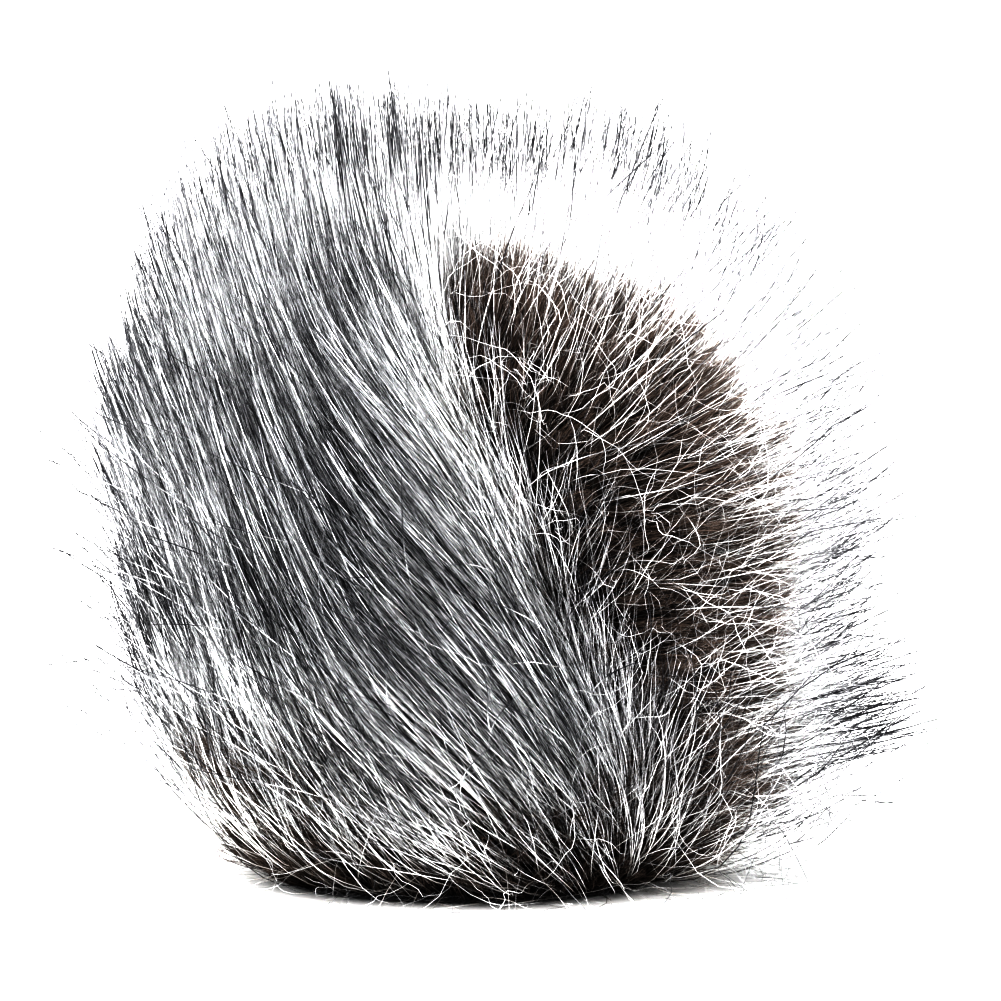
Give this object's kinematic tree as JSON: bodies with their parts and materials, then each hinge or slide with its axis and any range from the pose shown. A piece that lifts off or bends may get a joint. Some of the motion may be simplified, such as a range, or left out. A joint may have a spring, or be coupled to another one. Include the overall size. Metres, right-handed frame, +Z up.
{
  "type": "furry windscreen",
  "caption": "Ball-shaped long-pile fur windscreen: a slip-over fur bag with an elastic hem on a domed foam insert that grips a microphone.",
  "frame": {"origin": "centre of the mouth, on the surface the windscreen stands on", "axes": "+Z up along the bag's axis from the mouth to the crown, side seams at -X and +X, -Y the front"},
  "size_m": [0.084, 0.084, 0.087],
  "materials": {
    "fur_pile": "long silver grey pile with dark tips",
    "fur_backing": "close knitted backing",
    "seam_allowance": "pressed knitted allowance",
    "thread": "polyester thread",
    "lining_mesh": "fine warp-knitted mesh",
    "hem_tape": "twill tape",
    "elastic": "woven elastic",
    "foam": "open-cell foam"
  },
  "bodies": {
    "foam": {"foam_insert": "foam"},
    "fur_cover": {"pile_front": "fur_pile", "pile_back": "fur_pile", "pile_crown": "fur_pile", "backing_front": "fur_backing", "backing_back": "fur_backing", "backing_crown": "fur_backing", "side_seam_left": "seam_allowance", "side_seam_right": "seam_allowance", "crown_seam": "seam_allowance", "seam_stitching_left": "thread", "seam_stitching_right": "thread", "crown_stitching": "thread", "lining_sleeve": "lining_mesh", "lining_crown": "lining_mesh", "hem_casing": "hem_tape", "elastic_band": "elastic", "elastic_join": "elastic", "hem_stitching": "thread", "hem_bartack": "thread"}
  },
  "joints": [
    {"name": "cover_slide", "type": "slide", "parent": "foam", "child": "fur_cover", "axis": [0, 0, 1], "range_m": [0, 0.07]}
  ]
}
